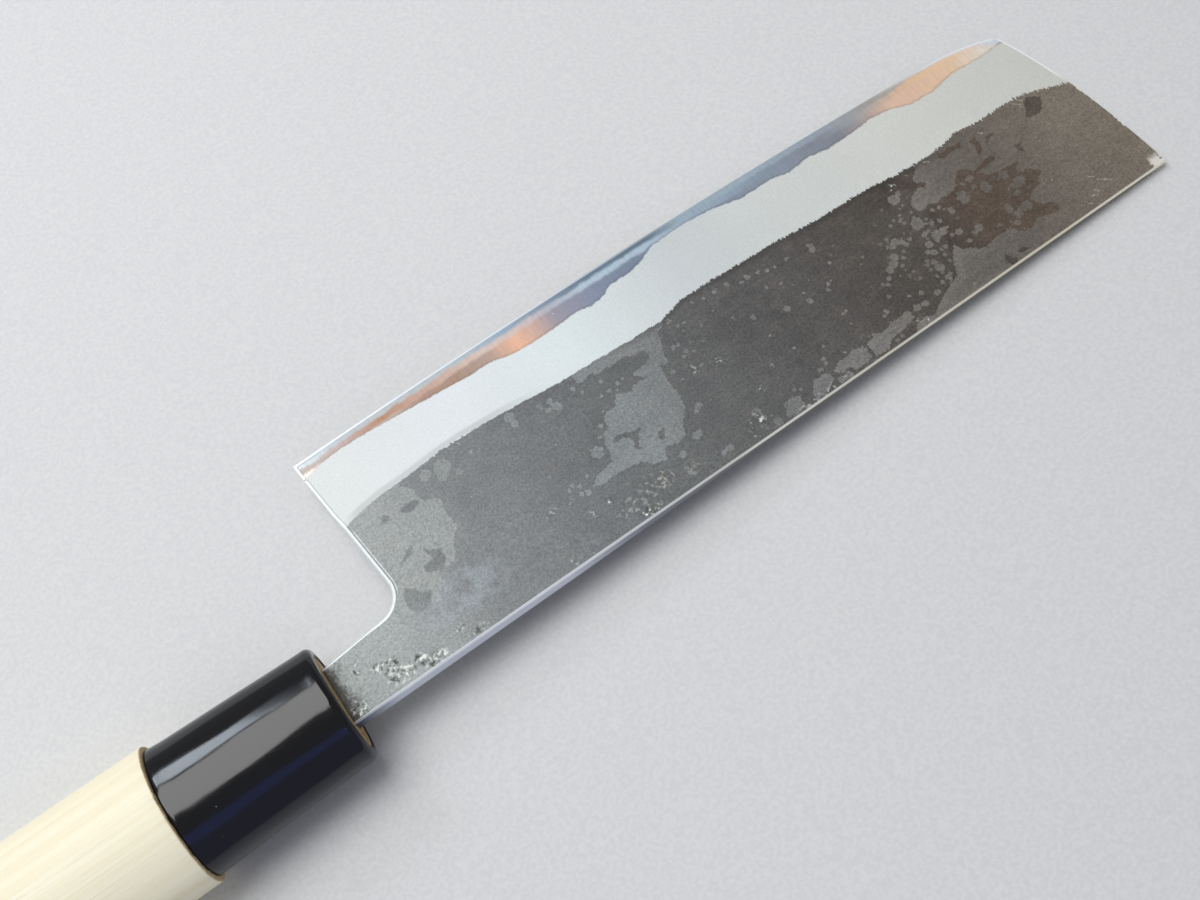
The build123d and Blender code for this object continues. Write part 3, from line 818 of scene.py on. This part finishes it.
# Round blisters in the scale: their places, under each radius
BLISTERS = {
    0.3: [
        (54.8, 13.4), (87.0, 27.3), (86.8, 29.0), (88.0, 23.1), (90.0, 23.0), (90.6, 24.8), (91.0, 27.6),
        (92.2, 29.0), (96.4, 27.5), (120.1, 18.9), (108.0, 23.9), (109.4, 25.3), (112.0, 24.4),
        (128.3, 19.2), (118.4, 12.0), (133.2, 19.2), (139.6, 22.2), (140.8, 23.2), (145.2, 14.5),
        (159.9, 16.9),
    ],
    0.35: [
        (70.5, 25.7), (68.7, 22.9), (68.7, 7.0), (86.6, 12.7), (92.8, 23.2), (84.8, 19.3), (114.5, 20.1),
        (113.4, 28.0), (98.2, 27.7), (100.3, 23.9), (123.5, 23.3), (121.5, 21.0), (125.2, 24.8),
        (126.9, 18.1), (103.6, 16.8), (105.6, 11.8), (117.6, 12.0), (108.6, 6.6), (123.3, 6.8),
        (127.4, 12.3), (138.8, 21.0), (146.8, 18.8), (147.4, 18.0),
    ],
    0.4: [
        (68.0, 28.5), (72.0, 28.3), (75.8, 26.3), (73.6, 25.0), (65.3, 18.8), (55.8, 14.0), (58.9, 13.9),
        (53.3, 17.9), (82.9, 12.4), (88.4, 25.7), (94.4, 26.3), (89.6, 19.6), (100.8, 30.8), (98.4, 30.9),
        (106.2, 29.2), (111.8, 28.2), (113.9, 22.8), (100.1, 11.5), (110.2, 8.8), (117.2, 9.4),
        (124.2, 7.3), (119.3, 4.9), (134.3, 14.3), (133.1, 18.0), (137.2, 11.0), (129.8, 7.2),
        (141.1, 11.4), (142.6, 17.6), (145.4, 19.2), (155.4, 8.1), (163.2, 11.7),
    ],
    0.45: [(60.7, 29.4), (90.8, 29.2), (122.3, 22.1), (136.7, 16.3)],
    0.5: [
        (44.0, 31.0), (66.9, 30.3), (72.4, 25.8), (74.4, 26.1), (66.9, 20.7), (56.9, 13.0), (56.2, 11.6),
        (57.4, 11.1), (81.0, 8.8), (87.4, 25.7), (84.4, 21.6), (118.5, 17.6), (119.2, 18.6),
        (110.1, 29.0), (103.6, 30.6), (126.6, 9.5), (128.2, 11.6), (129.2, 12.6), (138.6, 12.6),
        (136.7, 7.4), (136.5, 5.7), (142.2, 11.4), (146.6, 9.6), (153.7, 20.2), (157.1, 11.0),
    ],
    0.55: [(88.9, 23.8), (116.2, 28.0), (137.8, 16.8), (144.9, 16.5), (148.2, 16.6)],
    0.6: [
        (59.8, 31.0), (84.0, 13.1), (90.0, 31.0), (82.0, 2.6), (92.3, 3.8), (103.4, 21.7), (114.2, 17.9),
        (121.6, 27.5), (107.8, 29.4), (134.2, 17.6), (136.2, 17.2), (140.7, 15.8), (142.6, 26.2),
        (131.9, 6.4), (142.0, 13.3), (143.5, 17.0), (148.2, 17.1), (153.4, 8.7), (156.4, 7.1),
        (158.9, 9.0),
    ],
    0.65: [(155.1, 18.3)],
    0.7: [
        (40.2, 29.1), (54.0, 30.8), (83.6, 2.8), (108.6, 1.2), (109.8, 19.2), (121.6, 26.7),
        (130.5, 13.8), (139.6, 11.6), (138.2, 10.0), (138.2, 6.0), (134.5, 4.7), (146.3, 12.4),
        (148.5, 10.3), (156.9, 10.1),
    ],
    0.75: [(61.8, 30.8), (75.8, 6.8)],
    0.8: [
        (62.5, 29.1), (110.3, 1.1), (132.9, 15.5), (139.9, 13.6), (129.4, 4.4), (131.2, 4.2),
        (143.8, 14.2), (149.8, 10.6), (164.8, 15.9), (160.9, 12.2),
    ],
    0.85: [(135.2, 18.0), (155.7, 20.3)],
    0.9: [
        (37.0, 30.2), (80.2, 8.4), (91.8, 5.4), (94.0, 1.7), (97.4, 2.9), (131.8, 14.4), (161.4, 13.6),
        (157.7, 8.3),
    ],
    1.0: [(53.9, 32.6), (138.3, 8.5), (142.4, 14.4), (161.3, 16.8)],
    1.05: [(156.9, 17.3), (156.9, 16.3)],
    1.1: [(160.3, 8.8)],
    1.15: [(151.9, 18.3), (151.9, 17.3)],
    1.2: [(34.6, 32.3), (141.0, 25.6), (162.9, 14.0)],
    1.3: [(63.2, 16.7)],
    1.35: [(141.2, 18.7)],
    1.7: [(38.0, 31.7)],
}
BROWN_FIELDS = [
    [(142.0, 9.5), (146.0, 6.0), (154.6, 6.2), (157.0, 3.6), (166.0, 3.6), (168.6, 13.0), (166.0, 18.6),
     (158.0, 23.6), (152.8, 23.4), (147.0, 21.2), (144.0, 19.8), (143.4, 14.0)],
    [(130.6, 29.0), (134.0, 31.6), (143.0, 30.4), (149.4, 25.0), (147.0, 24.0), (143.4, 26.8),
     (138.4, 24.4), (134.0, 26.4)],
    [(153.8, 29.0), (167.2, 27.4), (166.4, 24.2), (157.0, 19.8), (158.0, 23.0)],
]
# Thin scratches: place of each end
SCRATCHES = [
    (163.8, 27.6, 164.7, 26.6), (173.8, 6.5, 174.7, 5.9), (174.7, 5.1, 175.9, 3.8),
    (175.9, 4.4, 176.9, 3.2), (171.3, 2.9, 172.5, 2.3), (169.4, 2.6, 170.6, 1.0),
    (172.8, 3.6, 173.4, 2.6), (178.1, 6.8, 178.9, 6.5), (173.8, 28.4, 175.0, 27.3),
    (175.1, 28.6, 176.0, 27.4), (174.4, 27.2, 174.9, 26.4), (176.6, 28.9, 177.0, 27.9),
    (151.0, 28.9, 152.0, 28.2), (146.2, 29.0, 146.6, 28.2), (63.9, 1.2, 64.8, 2.0),
    (65.3, 0.9, 66.4, 2.2), (66.9, 1.0, 67.4, 1.9), (68.1, 4.6, 69.6, 3.6), (70.2, 5.8, 70.6, 3.4),
    (71.8, 6.2, 72.2, 4.1), (54.0, 12.2, 54.5, 11.5), (50.2, 12.5, 51.0, 12.0), (24.0, 3.8, 24.7, 3.6),
    (88.6, 2.0, 89.5, 1.2), (91.3, 5.6, 92.4, 3.2), (105.6, 1.2, 106.8, 2.0), (112.4, 5.6, 112.9, 5.0),
    (127.4, 2.4, 128.4, 1.4), (95.6, 32.0, 96.2, 31.2), (101.0, 31.8, 101.5, 31.0),
    (41.2, 34.4, 41.8, 33.8), (43.0, 34.2, 43.4, 33.6),
]
# Rough scale that stands up or is pitted: place, half length, half width and strength
ROUGH_SPOTS = [
    (8.2, 6.4, 1.6, 1.0, 0.8), (10.2, 5.0, 2.4, 1.7, 1.0), (11.5, 2.6, 3.4, 1.7, 0.8),
    (15.4, 3.0, 1.5, 1.3, 1.0), (17.6, 1.5, 3.0, 1.4, 0.9), (4.6, 7.8, 1.0, 0.8, 0.8),
    (5.2, 9.4, 1.0, 0.7, 0.4), (2.0, 1.8, 1.8, 2.0, 0.7), (24.2, 3.7, 1.1, 0.7, 1.0),
    (26.8, 1.4, 2.4, 0.9, 0.5), (49.6, 11.6, 1.6, 1.4, 0.2), (53.2, 11.9, 1.2, 0.9, 0.25),
    (48.2, 1.6, 1.6, 1.2, 0.22), (59.6, 7.6, 0.6, 1.2, 0.6), (55.8, 7.2, 0.7, 0.9, 0.3),
    (64.8, 1.4, 2.0, 1.1, 1.0), (62.0, 4.0, 4.4, 2.6, 0.14), (68.5, 5.2, 4.4, 3.0, 0.18),
    (76.0, 3.4, 3.0, 2.0, 0.1), (89.4, 3.8, 1.0, 1.6, 0.5), (91.6, 4.4, 0.9, 2.2, 0.5),
    (95.6, 8.8, 1.2, 0.8, 0.3), (92.4, 18.2, 2.6, 1.2, 0.22), (87.6, 20.0, 0.9, 1.8, 0.24),
    (104.0, 1.0, 9.0, 0.8, 0.2), (128.8, 1.8, 1.2, 1.2, 0.5), (142.6, 27.8, 1.0, 1.2, 0.4),
    (171.8, 19.0, 0.6, 0.6, 0.5),
]


def left_patches(along, across):
    """Signed reach of the pale patches, the brown fields and the scratches, and the roughness."""
    field = within_any(PALE_PATCHES, along, across)
    marks = within_any(DARK_MARKS, along, across)
    return {
        "bare": np.maximum(round_spots(BLISTERS, along, across), np.minimum(field, -marks)),
        "mark": marks,
        "brown": within_any(BROWN_FIELDS, along, across),
        "scratch": strokes(SCRATCHES, along, across),
        "rough": rough_spots(ROUGH_SPOTS, along, across),
    }


def left_relief(along, across, side):
    """The scale's relief: wavy from the hammer, lower where it has flaked, rough where it has blistered."""
    skin = left_patches(along, across)
    scale = np.array(SCALE_END)
    under_scale = np.interp(along, scale[:, 0], scale[:, 1]) - across
    covered = np.clip(under_scale / 0.4, 0, 1) * np.clip(across / 0.4, 0, 1)
    crumbs = ripple(along, across, 1.1, 3.3) + 0.7 * ripple(along, across, 0.6, 7.1)
    swell = ripple(along, across, 9.0, 1.7) * 0.012 + ripple(along, across, 2.6, 4.4) * 0.006
    flaked = 0.016 * np.clip(skin["bare"] / 0.3, 0, 1)
    return covered * (swell - flaked + 0.36 * skin["rough"] * crumbs)


left = forged_layer("left_cladding", "blade_left_side")
left_spots = lay_on_surface(left, left_relief)
measure_skin(left, left_spots, left_patches)
finish_layer(left, "left_cladding", LEFT_SKIN)

# Right cladding: the same soft iron, forge-welded to the core, on the side that lies downwards.
# It carries the same black scale, and its own wavy weld line above the edge.
# Its patches are of the left side's kind, turned end for end and spine for edge.
TURNED_ALONG = 203.0
TURNED_ACROSS = 33.0


def right_patches(along, across):
    """The patches and marks of the right side."""
    return left_patches(TURNED_ALONG - along, TURNED_ACROSS - across)


def right_relief(along, across, side):
    """The scale's relief on the right side: wavy from the hammer, and rough in places."""
    covered = np.clip((31.0 - across) / 3.0, 0, 1) * np.clip(across / 0.4, 0, 1)
    swell = ripple(along, across, 9.0, 11.7) * 0.012 + ripple(along, across, 2.6, 14.4) * 0.005
    rough = np.clip(ripple(along, across, 14.0, 21.0) * 3 - 0.9, 0, 1)
    return covered * (swell + 0.08 * rough * ripple(along, across, 0.8, 13.3))


right = forged_layer("right_cladding", "blade_right_side", -1)
right_spots = lay_on_surface(right, right_relief)
measure_skin(right, right_spots, right_patches)
finish_layer(right, "right_cladding", RIGHT_SKIN)

# Handle: one piece of pale magnolia wood with straight grain, turned oval and sanded, not varnished.
# It swells a little towards the butt, and a tenon on its front end fills the ferrule.
# The tang was driven hot into the slot, and has left the wood around it tan.
AXIS_HEIGHT = 5.4
END_SHARE = 0.8
HANDLE_LENGTH = 128.0
FERRULE_LENGTH = 33.3
COLLAR = (26.1, 19.7)
MOUTH_INSET = 1.08
FERRULE_WALL = 2.3
BORE = tuple(size - 2 * (MOUTH_INSET + FERRULE_WALL) for size in COLLAR)
BUTT = (28.6, 22.2)
BUTT_ROUND = 1.6
GRIP_SWELL = 0.3
GRIP_LENGTH = HANDLE_LENGTH - FERRULE_LENGTH
SHOULDER_CHAMFER = 0.3
GLUE_GAP = 0.05
WOOD_RECESS = 0.2
TANG_SLOT = (12.3, 4.2)
SLOT_MIDDLE = 0.6
SLOT_END = (6.3, 2.9)
SLOT_DEPTH = 98.7
GRIP_RINGS = 39
WOOD_CREASE = radians(30)
ROUND_STEPS = 160


def oval_point(size, inset, turn):
    """A point on a four-arc oval, drawn in by the inset, where its outward direction has that turn."""
    half_width, half_thick = size[0] / 2, size[1] / 2
    end_radius = END_SHARE * half_thick
    centre = half_width - end_radius
    side_radius = (centre**2 + half_thick**2 - end_radius**2) / (2 * (half_thick - end_radius))
    drop = side_radius - half_thick
    across, up = cos(turn), sin(turn)
    if abs(up) * centre < abs(across) * drop:
        shift = centre if across > 0 else -centre
        return shift + (end_radius - inset) * across, (end_radius - inset) * up
    shift = -drop if up > 0 else drop
    return (side_radius - inset) * across, shift + (side_radius - inset) * up


def slot_point(size, inset, turn):
    """A point on the tang's rectangular slot, in the direction of the turn."""
    half_width, half_thick = size[0] / 2 - inset, size[1] / 2 - inset
    across, up = cos(turn), sin(turn)
    reach = min(half_width / max(abs(across), 1e-9), half_thick / max(abs(up), 1e-9))
    return SLOT_MIDDLE + reach * across, reach * up


def ringed(name, rings, closed):
    """A piece drawn out ring by ring along the handle: each ring is its place, its form, size and inset.
    A closed one gets a face at both ends, and an open one is joined end to end into a tube's wall."""
    bpy.ops.object.select_all(action="DESELECT")
    bpy.ops.mesh.primitive_circle_add(vertices=ROUND_STEPS, radius=0.01)
    bpy.context.tool_settings.mesh_select_mode = (True, False, False)
    piece = bpy.context.object
    piece.name = piece.data.name = name
    for number, (along, form, size, inset) in enumerate(rings):
        bpy.ops.object.mode_set(mode="EDIT")
        if number:
            bpy.ops.mesh.extrude_region_move()
        bpy.ops.object.mode_set(mode="OBJECT")
        ring = [v for v in piece.data.vertices if v.select]
        for step, vertex in enumerate(ring):
            across, up = form(size, inset, 2 * pi * (step + 0.5) / ROUND_STEPS)
            vertex.co = to_world(np.array((along, AXIS_HEIGHT + across, up)))
    bpy.ops.object.mode_set(mode="EDIT")
    if closed:
        bpy.ops.mesh.select_all(action="SELECT")
        bpy.ops.mesh.fill_holes(sides=0)
    else:
        bpy.ops.mesh.select_all(action="DESELECT")
        bpy.ops.mesh.select_non_manifold()
        bpy.ops.mesh.bridge_edge_loops()
    bpy.ops.mesh.select_all(action="SELECT")
    bpy.ops.mesh.normals_make_consistent(inside=False)
    bpy.ops.object.mode_set(mode="OBJECT")
    piece.matrix_world = Matrix.Identity(4)
    return piece


def rings(form, size, *stations):
    """Rings of one form and size, each station its place along the handle and its inset."""
    return [(along, form, size, inset) for along, inset in stations]


def quarter(steps):
    """The turns of a rounded rim, from 0 to a quarter of a circle."""
    return [pi / 2 * number / steps for number in range(steps + 1)]


handle_rings = []
for turn in reversed(quarter(8)):
    along = -HANDLE_LENGTH + BUTT_ROUND * (1 - sin(turn))
    handle_rings.append((along, oval_point, BUTT, BUTT_ROUND * (1 - cos(turn)) + 0.02))
for number in range(1, GRIP_RINGS + 1):
    reach = (GRIP_LENGTH - BUTT_ROUND - SHOULDER_CHAMFER) * number / GRIP_RINGS
    along = -HANDLE_LENGTH + BUTT_ROUND + reach
    inset = 0.008 + GRIP_SWELL * (along + HANDLE_LENGTH) / GRIP_LENGTH
    handle_rings.append((along, oval_point, BUTT, inset))
handle_rings += rings(
    oval_point, BUTT, (-FERRULE_LENGTH - 0.12, GRIP_SWELL + 0.06),
    (-FERRULE_LENGTH, GRIP_SWELL + 0.3), (-FERRULE_LENGTH, GRIP_SWELL + 0.8),
)
handle_rings += rings(
    oval_point, BORE, (-FERRULE_LENGTH, GLUE_GAP), (-20.0, GLUE_GAP), (-0.5, GLUE_GAP),
    (-0.26, 0.1), (-WOOD_RECESS, 0.24), (-WOOD_RECESS, 1.2),
)
handle_rings += rings(
    slot_point, TANG_SLOT, (-WOOD_RECESS, -0.6), (-WOOD_RECESS, 0.0), (-1.2, 0.05), (-24.0, 0.1),
)
handle_rings += rings(slot_point, SLOT_END, (-SLOT_DEPTH, 0.0))
handle = ringed("handle_grip", handle_rings, True)

# The wood's shoulder is chipped where it meets the ferrule
CHIP_DEPTH = 0.4
CHIP_START = 9.6
spots = to_knife(np.array([v.co for v in handle.data.vertices]))
for vertex, (along, across, up) in zip(handle.data.vertices, spots):
    at_shoulder = -FERRULE_LENGTH - 0.2 < along < -FERRULE_LENGTH + 0.01
    if at_shoulder and hypot(across - AXIS_HEIGHT, up) > CHIP_START:
        chip = noise.noise(Vector((across, up, 0.0)) * 0.9)
        chip += 0.6 * noise.noise(Vector((across, up, 5.0)) * 3.1)
        vertex.co = to_world(np.array((along - CHIP_DEPTH * max(chip - 0.1, 0), across, up)))

wood = Finish("magnolia_wood", Roughness=0.62, IOR=1.45)
lengthwise = wood.speckle(1.6, 4.0, (60, 1, 1), 2.0, 0.6)
streak = wood.speckle(0.35, 3.0, (90, 1, 1), 7.0)
pores = wood.speckle(0.16, 2.0, (26, 1, 1), 11.0)
broad = wood.speckle(7.0, 2.0, (14, 1, 1), 4.0)
cream = wood.blend(lengthwise.rise(0.3, 0.72), paint(255, 250, 226), paint(250, 240, 208))
cream = wood.coats(
    cream,
    (broad.rise(0.4, 0.66) * 0.4, (246, 234, 204)),
    (streak.rise(0.56, 0.74) * 0.22, (214, 192, 156)),
    (pores.rise(0.62, 0.76) * 0.25, (204, 180, 146)),
)
end_grain = wood.blend(wood.speckle(0.5, 3.0).rise(0.3, 0.7), paint(208, 176, 124), paint(166, 128, 82))
in_mouth = wood.along.rise(-3.0, -1.0)
shoulder = wood.along.rise(-33.7, -33.36) * wood.along.rise(-32.0, -33.0)
colour = wood.blend(in_mouth.most(shoulder * 0.75), cream, end_grain)
butt_grain = wood.blend(wood.speckle(0.6, 3.0).rise(0.35, 0.65), paint(224, 204, 166), paint(204, 180, 140))
colour = wood.blend(wood.along.rise(-127.4, -127.9), colour, butt_grain)
wood.dress(colour, 0.56 + streak * 0.16, None, pores * 0.6 + streak * 0.5 + lengthwise * 0.4, 0.05)
handle.data.materials.append(wood.material)
alone(handle)
bpy.ops.object.shade_smooth_by_angle(angle=WOOD_CREASE)
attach(handle, "root")
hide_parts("handle")

# Ferrule: a glossy black oval sleeve with a rounded lip, pushed and glued on the handle's tenon.
# It is polished by hand, so its highlights wander a little, and dust and fine hairlines lie on it.
# Its bore is straight, and shows the wood of the tenon around the blade's neck.
LIP_ROUND = 1.4
BORE_CHAMFER = 0.5
COLLAR_ROUND = 0.16
SLEEVE_RINGS = 36
SLEEVE_CREASE = radians(32)
ferrule_rings = rings(
    oval_point, COLLAR, (-FERRULE_LENGTH, 0.9), (-FERRULE_LENGTH, COLLAR_ROUND),
    (-FERRULE_LENGTH + 0.05, 0.05), (-FERRULE_LENGTH + COLLAR_ROUND, 0.006),
)
for number in range(1, SLEEVE_RINGS):
    reach = (FERRULE_LENGTH - COLLAR_ROUND - LIP_ROUND) * number / SLEEVE_RINGS
    along = -FERRULE_LENGTH + COLLAR_ROUND + reach
    inset = MOUTH_INSET * (along + FERRULE_LENGTH) / FERRULE_LENGTH
    ferrule_rings.append((along, oval_point, COLLAR, inset))
for turn in quarter(10):
    along = -LIP_ROUND + LIP_ROUND * sin(turn)
    inset = MOUTH_INSET * (1 - LIP_ROUND / FERRULE_LENGTH) + LIP_ROUND * (1 - cos(turn))
    ferrule_rings.append((along, oval_point, COLLAR, inset))
ferrule_rings += rings(
    oval_point, BORE, (0.0, -BORE_CHAMFER - 0.03), (-0.05, -BORE_CHAMFER + 0.03),
    (-BORE_CHAMFER, 0.0), (-2.0, 0.0), (-FERRULE_LENGTH, 0.0),
)
ferrule = ringed("ferrule_sleeve", ferrule_rings, False)

# The sleeve's outside is polished by hand, so it wavers by less than a tenth of a millimetre
WAVE_HEIGHT = 0.09
SLEEVE_HALF = (13.0, 9.8)
spots = to_knife(np.array([v.co for v in ferrule.data.vertices]))
for vertex, (along, across, up) in zip(ferrule.data.vertices, spots):
    out = Vector((0.0, (across - AXIS_HEIGHT) / SLEEVE_HALF[0], up / SLEEVE_HALF[1]))
    if -FERRULE_LENGTH + 0.3 < along < -0.4 and hypot(out.y, out.z) > 0.86:
        wave = noise.noise(Vector((along / 17, across / 6, up / 6 + 3.0)))
        wave += 0.25 * noise.noise(Vector((along / 9, across / 2.4, up / 2.4)))
        fade = min((along + FERRULE_LENGTH) / 3, -along / 3, 1.0)
        inwards = np.array(out.normalized()) * WAVE_HEIGHT * fade * (1 + wave)
        vertex.co = to_world(np.array((along, across, up)) - inwards)

gloss = Finish("black_resin", IOR=1.5)
haze = gloss.speckle(3.0, 4.0, (8, 1, 1), 3.0)
hairs = gloss.speckle(0.12, 2.0, (40, 1, 1), 6.0)
speck = gloss.dots(2.6, 0.16, 0.5)
# A painted blue sheen on the sleeve's spine side, which faces the blue sky panel
blue_sheen = (gloss.across + (haze - 0.5) * 6.0).rise(2.0, -4.0) * 0.8
sleeve_colour = gloss.blend(blue_sheen, paint(4, 4, 7), paint(5, 7, 30))
sleeve_colour = gloss.blend(speck * 0.6, sleeve_colour, paint(150, 152, 156))
dull = 0.06 + haze * 0.1 + hairs.rise(0.62, 0.72) * 0.12 + speck * 0.4
gloss.dress(sleeve_colour, dull, None, haze * 0.9 + hairs * 0.06 + speck * 0.3, 0.03)
ferrule.data.materials.append(gloss.material)
alone(ferrule)
bpy.ops.object.shade_smooth_by_angle(angle=SLEEVE_CREASE)
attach(ferrule, "root")
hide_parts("ferrule")

# Floor, light and camera: a pale studio table, one broad window-like panel beyond the cutting edge,
# a slit of bright sky behind it, a blue panel that only glossy surfaces mirror,
# and a camera that looks down along the blade from above the handle.
TABLE_SIZE = 6.0
STUDIO_COLOUR = (0.95, 0.97, 1.0, 1.0)
STUDIO_STRENGTH = 0.32
KNIFE_MIDDLE = (-0.05, 0.0, 0.01)
bpy.ops.object.select_all(action="DESELECT")
bpy.ops.mesh.primitive_plane_add(size=TABLE_SIZE)
floor = bpy.context.object
floor.name = "table_top"
table = Finish("pale_table", Roughness=0.7)
table.dress(table.blend(table.speckle(0.8, 3.0).rise(0.3, 0.7), paint(214, 214, 214), paint(222, 222, 221)))
floor.data.materials.append(table.material)

world = bpy.data.worlds.new("studio")
bpy.context.scene.world = world
world.use_nodes = True
background = world.node_tree.nodes["Background"]
background.inputs["Color"].default_value = STUDIO_COLOUR
background.inputs["Strength"].default_value = STUDIO_STRENGTH


def panel(name, place, aim, size, radiance, colour=(1, 1, 1)):
    """A soft light panel of that radiance, aimed at a point."""
    light = bpy.data.lights.new(name, "AREA")
    light.shape = "RECTANGLE"
    light.size, light.size_y = size
    light.energy = radiance * pi * size[0] * size[1]
    light.color = colour
    lamp = bpy.data.objects.new(name, light)
    bpy.context.scene.collection.objects.link(lamp)
    lamp.location = place
    lamp.rotation_euler = (Vector(aim) - Vector(place)).to_track_quat("-Z", "Y").to_euler()
    return lamp


panel("window", (-0.16, 0.28, 0.86), (0.0, 0.0, 0.0), (0.66, 0.62), 4.6)
panel("gap_in_blinds", (-0.2, 0.68, 0.58), KNIFE_MIDDLE, (0.16, 0.24), 9.0, (0.82, 0.9, 1.0))
sky = panel("sky", (-0.2, -0.66, 0.82), KNIFE_MIDDLE, (0.7, 0.24), 0.55, (0.1, 0.2, 1.0))
sky.data.diffuse_factor = 0.0

# The camera's way right, down and forward, and its place, all along the knife's own axes
LOOK = Matrix((
    (0.81728, -0.56911, -0.09036),
    (-0.55890, -0.74472, -0.36473),
    (0.14028, 0.34859, -0.92672),
))
EYE = Vector((28.578, -71.150, 235.103))
camera_data = bpy.data.cameras.new("camera")
camera_data.lens = 40.5
camera_data.sensor_width = 36.0
camera_data.sensor_fit = "HORIZONTAL"
camera_data.clip_start = 0.01
camera = bpy.data.objects.new("camera", camera_data)
bpy.context.scene.collection.objects.link(camera)
right_way, down_way, forward_way = (KNIFE @ LOOK[row] for row in range(3))
pose = Matrix((right_way, -down_way, -forward_way)).transposed().to_4x4()
pose.translation = (KNIFE_ORIGIN + KNIFE @ EYE) * MM
camera.matrix_world = pose
bpy.context.scene.camera = camera

bpy.context.scene.view_settings.view_transform = "Standard"
